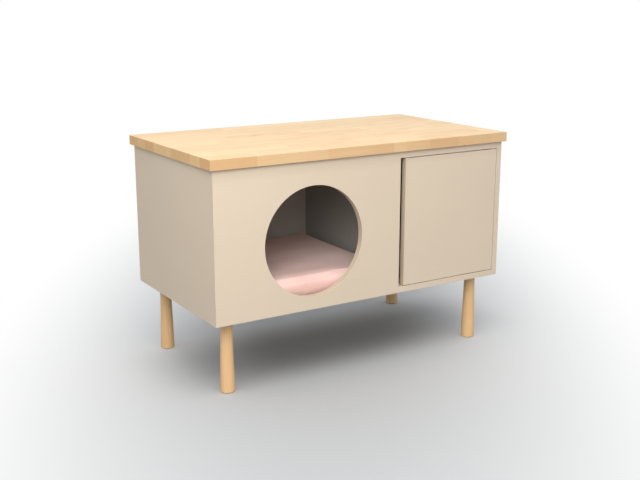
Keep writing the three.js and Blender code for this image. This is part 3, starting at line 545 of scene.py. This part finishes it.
def edge_marker():
    """Geometry nodes that smooth the round faces and mark the sharp edges that are to be rounded.

    Edges in the plane of the seam behind the front panel are left as they are.
    """
    tree = bpy.data.node_groups.new("mark_edges", "GeometryNodeTree")
    tree.is_modifier = True
    for direction in ("INPUT", "OUTPUT"):
        tree.interface.new_socket("Geometry", in_out=direction, socket_type="NodeSocketGeometry")
    g = Graph(tree)
    bare = g.node("GeometryNodeRemoveAttribute",
                  {"Geometry": g.node("NodeGroupInput", {}), "Name": "custom_normal"})
    sharp = above(g, g.node("GeometryNodeInputMeshEdgeAngle", {}, "Unsigned Angle"), SHARP_ANGLE)
    offsets = []
    for end in ("Position 1", "Position 2"):
        y = g.split(g.node("GeometryNodeInputMeshEdgeVertices", {}, end))[1]
        offsets.append(g.math("ABSOLUTE", g.math("SUBTRACT", y, SEAM_Y)))
    clear = above(g, g.math("MAXIMUM", *offsets), SEAM_TOLERANCE)
    rounded = g.node("FunctionNodeBooleanMath", {0: sharp, 1: clear}, operation="AND")
    marked = g.node("GeometryNodeStoreNamedAttribute",
                    {"Geometry": bare, "Name": "bevel_weight_edge", "Value": rounded},
                    data_type="FLOAT", domain="EDGE")
    smooth = g.node("GeometryNodeSetShadeSmooth", {"Geometry": marked, "Shade Smooth": True},
                    domain="FACE")
    shaded = g.node("GeometryNodeSetShadeSmooth",
                    {"Geometry": smooth, "Selection": sharp, "Shade Smooth": False},
                    domain="EDGE")
    output = tree.nodes.new("NodeGroupOutput")
    g.put(output.inputs[0], shaded)
    return tree


def above(g, value, limit):
    """Whether value is above limit, in a tree of geometry nodes."""
    return g.node("FunctionNodeCompare", {"A": value, "B": limit},
                  data_type="FLOAT", operation="GREATER_THAN")


def round_edges(obj, width, marker):
    """Joins the imported faces, smooths the round ones and rounds the sharp edges by width."""
    weld = obj.modifiers.new("weld", "WELD")
    weld.merge_threshold = SAME_POINT
    flat = obj.modifiers.new("join_flat_faces", "DECIMATE")
    flat.decimate_type = "DISSOLVE"
    flat.angle_limit = FLAT_ANGLE
    mark = obj.modifiers.new("mark_edges", "NODES")
    mark.node_group = marker
    bevel = obj.modifiers.new("round_edges", "BEVEL")
    bevel.limit_method = "WEIGHT"
    bevel.width = width
    bevel.segments = EDGE_SEGMENTS
    bevel.use_clamp_overlap = True
    bevel.harden_normals = True


def finish_nodes():
    """Gives each CAD node its edges and the finish of its material slot."""
    marker = edge_marker()
    for name, obj in nodes.items():
        round_edges(obj, EDGE_WIDTHS.get(name, SMALL_EDGE), marker)
        for slot in obj.material_slots:
            slot.material = finishes[slot.name]
    # The divider's face in the left compartment takes a darker, greyer painted shade.
    divider_shade_material = painted_board("painted_divider", (PARTITION_PAINTED_SHADE_DEEP, PARTITION_PAINTED_SHADE))
    nodes["divider_panel"].material_slots[0].material = divider_shade_material


# Cushion

def apply_modifiers(obj):
    """Gives obj the mesh that its modifiers make, and removes them."""
    state = obj.evaluated_get(bpy.context.evaluated_depsgraph_get())
    mesh = bpy.data.meshes.new_from_object(state)
    mesh.name = obj.name
    obj.modifiers.clear()
    obj.data = mesh


def even_cover():
    """The cushion's CAD solid, smaller by the room to swell, with an even mesh."""
    low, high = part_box("cushion")
    middle = (low + high) / 2
    mesh = nodes["cushion"].data.copy()
    shrink = Vector([1 - 2 * gap / size for gap, size in zip(SWELL_ROOM, high - low)])
    for vertex in mesh.vertices:
        vertex.co = middle + (vertex.co - middle) * shrink
    cover = bpy.data.objects.new("cushion_cover", mesh)
    bpy.context.scene.collection.objects.link(cover)
    remesh = cover.modifiers.new("even_mesh", "REMESH")
    remesh.mode = "VOXEL"
    remesh.voxel_size = CUSHION_VOXEL
    apply_modifiers(cover)
    return cover


def swell(cover):
    """Blows the cover up in a cloth simulation, by SWELL_CAP at most."""
    low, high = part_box("cushion")
    held = cover.vertex_groups.new(name="held")
    held.add([vertex.index for vertex in cover.data.vertices
              if min(vertex.co.x - low.x, high.x - vertex.co.x,
                     high.y - vertex.co.y) < HELD_WITHIN], 1.0, "REPLACE")
    cloth = cover.modifiers.new("swell", "CLOTH")
    cloth.settings.quality = 6
    cloth.settings.mass = 0.25
    cloth.settings.tension_stiffness = 12
    cloth.settings.compression_stiffness = 12
    cloth.settings.shear_stiffness = 6
    cloth.settings.bending_stiffness = 0.4
    cloth.settings.use_pressure = True
    cloth.settings.uniform_pressure_force = SWELL_PRESSURE
    cloth.settings.effector_weights.gravity = 0
    cloth.settings.vertex_group_mass = held.name
    cloth.collision_settings.use_collision = False
    scene = bpy.context.scene
    for frame_number in range(1, SWELL_FRAMES + 1):
        scene.frame_set(frame_number)
    state = cover.evaluated_get(bpy.context.evaluated_depsgraph_get())
    targets = [vertex.co.copy() for vertex in state.data.vertices]
    cover.modifiers.clear()
    scene.frame_set(1)
    for vertex, target in zip(cover.data.vertices, targets):
        step = target - vertex.co
        if step.length > SWELL_CAP:
            step *= SWELL_CAP / step.length
        vertex.co += step


def shape_cover(cover):
    """Presses in the seam, lets the cover out against the walls and keeps it in the CAD solid."""
    low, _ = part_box("cushion")
    solid = nodes["cushion"].data
    space = BVHTree.FromPolygons([vertex.co for vertex in solid.vertices],
                                 [polygon.vertices for polygon in solid.polygons])
    shape = bmesh.new()
    shape.from_mesh(cover.data)
    seam_height = low.z + CUSHION_SEAM_HEIGHT
    for offset in (-SEAM_GROOVE, 0, SEAM_GROOVE):
        bmesh.ops.bisect_plane(shape, geom=shape.verts[:] + shape.edges[:] + shape.faces[:],
                               dist=SAME_POINT, plane_co=(0, 0, seam_height + offset),
                               plane_no=(0, 0, 1))
    shape.normal_update()
    for vertex in shape.verts:
        sideways = Vector((vertex.normal.x, vertex.normal.y, 0))
        if abs(vertex.co.z - seam_height) < ON_SEAM and sideways.length > SIDEWAYS:
            vertex.co -= SEAM_GROOVE * sideways.normalized()
        behind_nose = min(max((vertex.co.y - low.y - NOSE_START) / NOSE_LENGTH, 0), 1)
        vertex.co += FILLING_OUT * behind_nose * vertex.normal
        nearest, normal, _, _ = space.find_nearest(vertex.co)
        if (vertex.co - nearest).dot(normal) > -CUSHION_SKIN:
            vertex.co = nearest - CUSHION_SKIN * normal
    for face in shape.faces:
        face.smooth = True
    shape.to_mesh(cover.data)
    shape.free()


def padded_cushion():
    """The cushion's cover, filled out by a cloth simulation inside the space of the CAD solid."""
    cover = even_cover()
    swell(cover)
    subdivide = cover.modifiers.new("smooth", "SUBSURF")
    subdivide.levels = subdivide.render_levels = 1
    apply_modifiers(cover)
    shape_cover(cover)
    cover.data.materials.clear()
    cover.data.materials.append(finishes["cushion_fabric"])
    return cover


# Stage

def add_floor():
    """A pale floor that keeps the object's shadow, deepened by a painted shadow under it, and fades
    to white away from it.
    """
    mesh = bpy.data.meshes.new("floor")
    half = FLOOR_SIZE / 2
    mesh.from_pydata([(-half, -half, 0), (half, -half, 0), (half, half, 0), (-half, half, 0)],
                     [], [(0, 1, 2, 3)])
    floor = bpy.data.objects.new("floor", mesh)
    bpy.context.scene.collection.objects.link(floor)
    floor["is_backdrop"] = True
    mesh.materials.append(floor_finish())
    return floor


def floor_finish():
    """Pale grey with a painted shadow under the object, fading to glowing white away from it."""
    s = Surface("floor")
    s.tree.nodes.remove(s.shader)
    shown = seen_rays(s)
    albedo = s.between(shown, 0, 1, FLOOR_BOUNCE, FLOOR_SHOWN, smooth=False)
    # Painted shadow: the floor's tone is taken down under the object.
    shade = CONTACT_SHADE
    for value, reach in zip(s.split(s.moved(s.place(), (-CONTACT_MIDDLE_X, 0, 0))), CONTACT_REACH):
        shade = s.math("MULTIPLY", s.between(s.math("ABSOLUTE", value), *reach, 1, 0), shade)
    albedo = s.math("MULTIPLY", albedo, s.math("SUBTRACT", 1.0, shade))
    patch = s.mapped(s.place(), SHOWN_MIDDLE, math.radians(VIEW_AZIMUTH), (1, SHOWN_STRETCH, 1))
    fade = s.math("MULTIPLY", s.between(s.length(patch), FADE_FROM, FADE_TO), shown)
    matte = s.node("ShaderNodeBsdfDiffuse", {"Color": s.vector(albedo, albedo, albedo)})
    white = s.node("ShaderNodeEmission", {})
    s.put(s.output.inputs["Surface"], s.node("ShaderNodeMixShader", {0: fade, 1: matte, 2: white}))
    return s.material


def seen_rays(g):
    """1 for rays from the camera and from glossy and clear surfaces, and 0 for the rest."""
    path = g.tree.nodes.new("ShaderNodeLightPath")
    mirror = g.math("MAXIMUM", path.outputs["Is Glossy Ray"], path.outputs["Is Transmission Ray"])
    return g.math("MAXIMUM", path.outputs["Is Camera Ray"], mirror)


def add_sky():
    """Light from all sides, brighter in front, with a white backdrop."""
    world = bpy.data.worlds.new("studio")
    world.use_nodes = True
    g = Graph(world.node_tree)
    g.tree.nodes.clear()
    seen = seen_rays(g)
    backward = g.split(g.node("ShaderNodeTexCoord", {}, "Generated"))[1]
    level = g.math("MULTIPLY_ADD", backward, -SKY_FRONT_GAIN * SKY_LEVEL, SKY_LEVEL)
    strength = g.between(seen, 0, 1, level, 1, smooth=False)
    tint = g.mix(seen, SKY_TINT, WHITE)
    output = g.tree.nodes.new("ShaderNodeOutputWorld")
    light = g.node("ShaderNodeBackground", {"Color": tint, "Strength": strength})
    g.put(output.inputs["Surface"], light)
    bpy.context.scene.world = world


def stand(obj, aim, azimuth, elevation, distance):
    """Puts obj into the scene, at these angles and this distance from aim, turned to face it."""
    around, up = math.radians(azimuth), math.radians(elevation)
    direction = Vector((math.sin(around) * math.cos(up), -math.cos(around) * math.cos(up),
                        math.sin(up)))
    obj.location = aim + distance * direction
    obj.rotation_euler = (-direction).to_track_quat("-Z", "Y").to_euler()
    bpy.context.scene.collection.objects.link(obj)


def add_lamp(name, tint, azimuth, elevation, distance, size, power, lit):
    """A round soft lamp aimed at the object, whose light only the objects in lit catch."""
    light = bpy.data.lights.new(name, "AREA")
    light.shape = "DISK"
    light.size = size
    light.energy = power
    light.color = tint
    lamp = bpy.data.objects.new(name, light)
    stand(lamp, LAMP_AIM, azimuth, elevation, distance)
    lamp.visible_camera = False
    group = bpy.data.collections.new(name + "_receivers")
    for obj in lit:
        group.objects.link(obj)
    lamp.light_linking.receiver_collection = group


def add_camera():
    """The camera that took the photograph."""
    view = bpy.data.cameras.new("camera")
    view.lens = LENS
    view.sensor_width = SENSOR_WIDTH
    camera = bpy.data.objects.new("camera", view)
    stand(camera, VIEW_AIM, VIEW_AZIMUTH, VIEW_ELEVATION, VIEW_DISTANCE)
    bpy.context.scene.camera = camera


# Assembly

finishes = {
    "top_wood": laminated_wood(),
    "leg_wood": turned_wood(),
    "painted_board": painted_board("painted_board", (INNER_WALL_PAINTED_SHADE_DEEP, INNER_WALL_PAINTED_SHADE)),
    "hinge_steel": brushed_metal("hinge_steel", srgb(196, 197, 200), srgb(160, 162, 166), "x",
                                 0.34),
    "zinc_steel": brushed_metal("zinc_steel", srgb(204, 200, 186), srgb(170, 166, 150), "z", 0.38),
    "magnet": dull_magnet(),
    "nylon": moulded_plastic("nylon", srgb(233, 231, 225), srgb(218, 215, 208), 0.45),
    "catch_plastic": moulded_plastic("catch_plastic", srgb(234, 230, 222), srgb(220, 215, 206),
                                     0.42),
    "tray_plastic": moulded_plastic("tray_plastic", srgb(206, 190, 170), srgb(190, 173, 153), 0.38),
    "felt": pressed_felt(),
    "cushion_fabric": soft_cloth(),
}
finish_nodes()

cushion = padded_cushion()
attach(cushion, "cabinet")
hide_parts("cushion")

floor = add_floor()
add_sky()
add_lamp("floor_lamp", LAMP_TINT, **FLOOR_LAMP, lit=[floor])
add_lamp("overhead", LAMP_TINT, **OVERHEAD, lit=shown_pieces())
add_lamp("fill", LAMP_TINT, **FILL, lit=[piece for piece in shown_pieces() if piece != cushion])
add_lamp("cushion_fill", CUSHION_FILL_TINT, **CUSHION_FILL, lit=[cushion])
add_camera()
bpy.context.scene.view_settings.view_transform = "Standard"
